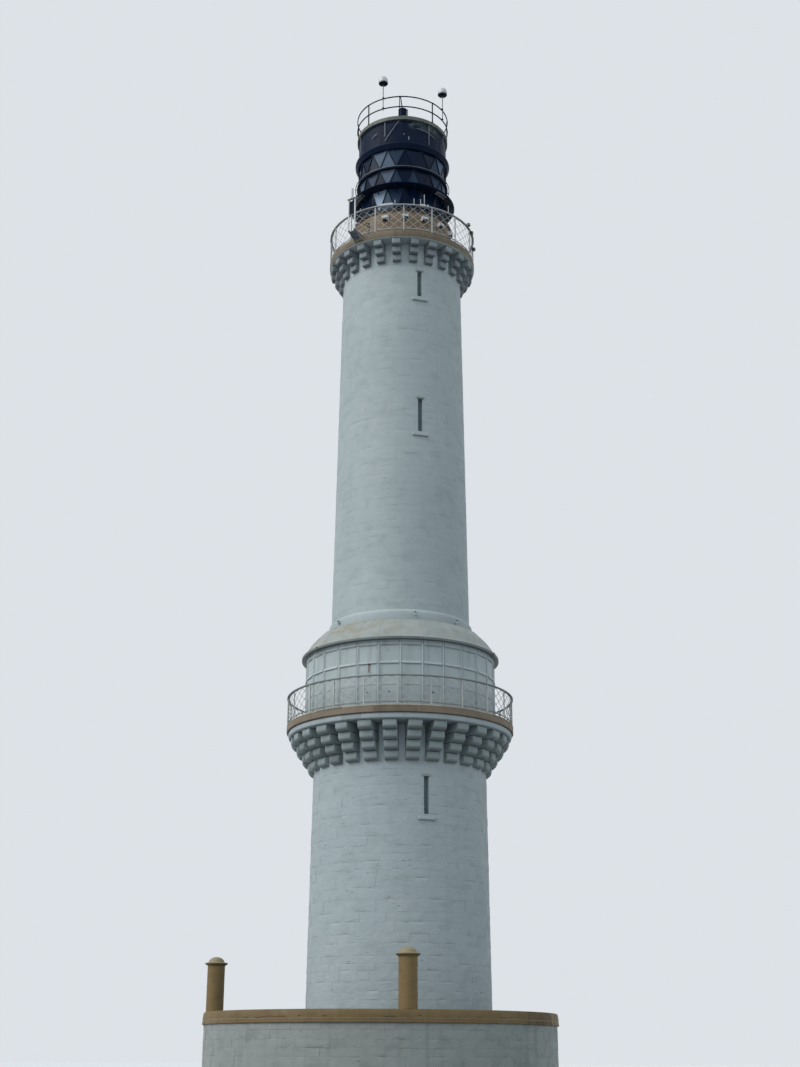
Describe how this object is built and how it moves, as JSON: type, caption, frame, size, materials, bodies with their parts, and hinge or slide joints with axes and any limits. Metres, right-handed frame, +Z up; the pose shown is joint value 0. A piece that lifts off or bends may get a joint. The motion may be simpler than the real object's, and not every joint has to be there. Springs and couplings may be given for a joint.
{
  "type": "lighthouse",
  "caption": "Tall round white masonry lighthouse with two corbelled lattice galleries, a black lantern of triangular panes and a round base building.",
  "frame": {"origin": "on the tower's axis at ground level", "axes": "+Z up, -Y towards the side that the picture shows, +X to that view's right"},
  "size_m": [11.5757, 11.54, 38.1196],
  "materials": {
    "white_masonry": "painted matt masonry, weathered",
    "buff_masonry": "painted matt masonry, weathered",
    "pale_kerb": "bare dressed stone",
    "grey_roofing": "rough roofing",
    "stone_floor": "worn stone",
    "painted_timber": "gloss paint on planks",
    "buff_metal": "painted plate",
    "white_metal": "painted iron, rust at joints",
    "black_metal": "black paint, satin",
    "grey_metal": "weathered grey-green",
    "clear_glass": "clear polished",
    "white_plastic": "smooth moulded"
  },
  "bodies": {
    "root": {"base_coping": "buff_masonry", "base_door": "painted_timber", "base_door_frame": "painted_timber", "base_roof": "grey_roofing", "base_wall_back": "white_masonry", "base_wall_front": "white_masonry", "base_wall_left": "white_masonry", "base_wall_right": "white_masonry", "chimney_caps": "buff_masonry", "chimney_shafts": "buff_masonry", "ground_floors": "stone_floor", "instrument_frame": "white_metal", "lantern_astragals": "black_metal", "lantern_bands": "black_metal", "lantern_floor": "stone_floor", "lantern_frieze": "black_metal", "lantern_gutter": "grey_metal", "lantern_handrail": "grey_metal", "lantern_panes": "clear_glass", "lantern_roof": "black_metal", "lantern_sill": "black_metal", "leaning_rod": "black_metal", "lower_corbels": "white_masonry", "lower_cornice": "white_masonry", "lower_deck": "buff_masonry", "lower_kerb": "pale_kerb", "lower_railing_lattice": "white_metal", "lower_railing_posts": "white_metal", "lower_railing_rails": "white_metal", "lower_wall_back": "white_masonry", "lower_wall_front": "white_masonry", "lower_wall_left": "white_masonry", "lower_wall_right": "white_masonry", "murette": "buff_masonry", "murette_door": "buff_metal", "murette_vents": "white_metal", "roof_aerials": "white_plastic", "roof_rails": "black_metal", "roof_ventilator": "black_metal", "shaft_collar": "white_masonry", "slit_window_lintels": "white_masonry", "slit_window_panes": "clear_glass", "slit_window_sills": "white_masonry", "stage_mullions": "white_metal", "stage_panels": "white_metal", "stage_roof": "white_metal", "stage_transoms": "white_metal", "upper_corbels": "white_masonry", "upper_deck": "buff_masonry", "upper_railing_lattice": "white_metal", "upper_railing_posts": "white_metal", "upper_railing_rails": "white_metal", "upper_wall_back": "white_masonry", "upper_wall_front": "white_masonry", "upper_wall_left": "white_masonry", "upper_wall_right": "white_masonry"}
  },
  "joints": []
}
